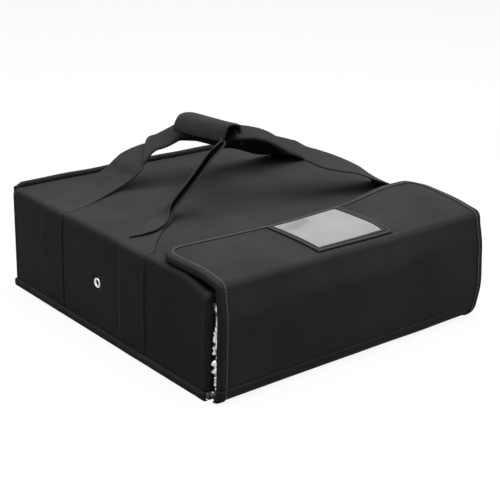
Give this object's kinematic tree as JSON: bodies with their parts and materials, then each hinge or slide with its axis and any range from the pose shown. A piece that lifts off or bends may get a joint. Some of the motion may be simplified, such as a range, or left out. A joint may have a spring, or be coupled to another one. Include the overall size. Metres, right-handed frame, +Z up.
{
  "type": "insulated pizza delivery bag",
  "caption": "Flat padded square bag with a front flap folded over the top, a label window, bound seams, vent eyelets, and two webbing loops joined in a wrapped grip.",
  "frame": {"origin": "on the floor, under the middle of the whole bag, flap included", "axes": "+Z up, -Y towards the mouth and its flap, +X towards the bag's right side as someone facing the flap sees it"},
  "size_m": [0.4128, 0.4222, 0.2222],
  "materials": {
    "cloth": "black coated polyester weave, slightly satin",
    "tape": "black woven binding tape with a stitch line",
    "webbing": "black woven webbing with fine lengthwise ribs",
    "foam": "closed-cell insulating foam sheet, matt",
    "lining": "silver metallised film, crinkled and shiny",
    "hook": "black hook and loop tape, matt",
    "metal": "nickel-plated brass, polished",
    "window": "clear to milky flexible vinyl, glossy"
  },
  "bodies": {
    "root": {"back_floor_seam": "tape", "back_foam": "foam", "back_lining": "lining", "back_outer": "cloth", "back_seam": "tape", "floor_foam": "foam", "floor_lining": "lining", "floor_outer": "cloth", "left_eyelet": "metal", "left_eyelet_washer": "metal", "left_floor_seam": "tape", "left_foam": "foam", "left_front_leg": "webbing", "left_front_strap": "webbing", "left_loop_patch": "hook", "left_rear_leg": "webbing", "left_rear_strap": "webbing", "mouth_binding": "tape", "right_eyelet": "metal", "right_eyelet_washer": "metal", "right_floor_seam": "tape", "right_foam": "foam", "right_front_leg": "webbing", "right_front_strap": "webbing", "right_loop_patch": "hook", "right_rear_leg": "webbing", "right_rear_strap": "webbing", "sleeve_lining": "lining", "sleeve_outer": "cloth", "top_foam": "foam"},
    "flap_front": {"flap_front_outer": "cloth", "flap_front_foam": "foam", "flap_front_lining": "lining", "flap_left_binding": "tape", "flap_right_binding": "tape"},
    "flap_tongue": {"tongue_outer": "cloth", "tongue_foam": "foam", "tongue_lining": "lining", "tongue_binding": "tape", "window_sheet": "window", "window_frame": "tape", "left_hook_patch": "hook", "right_hook_patch": "hook"},
    "handles": {"left_grip_webbing": "webbing", "right_grip_webbing": "webbing", "grip_wrap": "cloth", "grip_loop_tape": "hook"},
    "wrap_flap": {"grip_wrap_flap": "cloth", "grip_hook_tape": "hook"}
  },
  "joints": [
    {"name": "flap_opening", "type": "hinge", "parent": "root", "child": "flap_front", "pos_m": [0, -0.20755, 0.00355], "axis": [1, 0, 0], "range_deg": [0, 90]},
    {"name": "tongue_peel", "type": "hinge", "parent": "flap_front", "child": "flap_tongue", "pos_m": [0, -0.20742, 0.13853], "axis": [1, 0, 0], "range_deg": [0, 90]},
    {"name": "grip_lift", "type": "slide", "parent": "root", "child": "handles", "axis": [0, 0, 1], "range_m": [-0.05, 0.03], "deforming": ["left_rear_leg", "left_front_leg", "right_rear_leg", "right_front_leg"]},
    {"name": "wrap_opening", "type": "hinge", "parent": "handles", "child": "wrap_flap", "pos_m": [0.0118, 0.07458, 0.21228], "axis": [0, -0.9976, 0.0698], "range_deg": [0, 150]}
  ]
}
